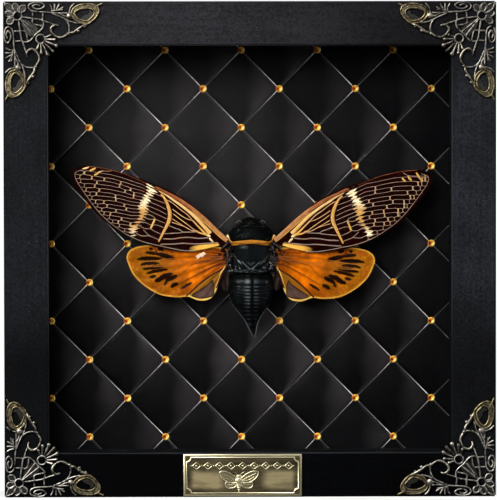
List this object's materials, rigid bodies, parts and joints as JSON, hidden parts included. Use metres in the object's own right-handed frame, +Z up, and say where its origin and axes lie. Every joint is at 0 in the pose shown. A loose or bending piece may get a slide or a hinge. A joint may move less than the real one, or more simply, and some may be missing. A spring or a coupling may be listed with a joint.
{
  "type": "framed cicada in a shadow box",
  "caption": "Square black shadow-box frame with metal corner ornaments and a brass plate, holding a spread cicada on a tufted pad behind glass.",
  "frame": {"origin": "on the plane the frame stands on, under the middle of its width and depth", "axes": "+Z up the frame, -Y out of its front, +X to the viewer's right"},
  "size_m": [0.2, 0.0384, 0.2015],
  "materials": {
    "black_wood": "painted satin black",
    "glass": "clear, polished",
    "black_card": "matt black",
    "faux_leather": "black, fine grain, satin, with gold studs",
    "fibreboard": "raw hardboard",
    "steel": "zinc plated",
    "antique_pewter": "cast alloy, antiqued, dark in the recesses and worn bright on the edges",
    "antique_brass": "brushed, with dark patina and polished rims",
    "chitin": "glossy black, with an orange-brown collar",
    "forewing": "dark membrane with pale yellow veins",
    "hindwing": "orange membrane with dark streaks"
  },
  "bodies": {
    "root": {"rail_top": "black_wood", "rail_bottom": "black_wood", "rail_left": "black_wood", "rail_right": "black_wood", "glass_pane": "glass", "spacer_top": "black_card", "spacer_bottom": "black_card", "spacer_left": "black_card", "spacer_right": "black_card", "quilted_pad": "faux_leather", "backing_board": "fibreboard", "point_top_1": "steel", "point_top_2": "steel", "point_bottom_1": "steel", "point_bottom_2": "steel", "point_left_1": "steel", "point_left_2": "steel", "point_right_1": "steel", "point_right_2": "steel", "hanger": "steel", "hanger_screw_left": "steel", "hanger_screw_right": "steel", "corner_top_left": "antique_pewter", "corner_top_right": "antique_pewter", "corner_bottom_left": "antique_pewter", "corner_bottom_right": "antique_pewter", "name_plate": "antique_brass", "cicada_head": "chitin", "cicada_thorax": "chitin", "cicada_abdomen": "chitin", "forewing_left": "forewing", "forewing_right": "forewing", "hindwing_left": "hindwing", "hindwing_right": "hindwing", "leg_front_left": "chitin", "leg_front_right": "chitin", "leg_middle_left": "chitin", "leg_middle_right": "chitin", "leg_hind_left": "chitin", "leg_hind_right": "chitin"}
  },
  "joints": []
}
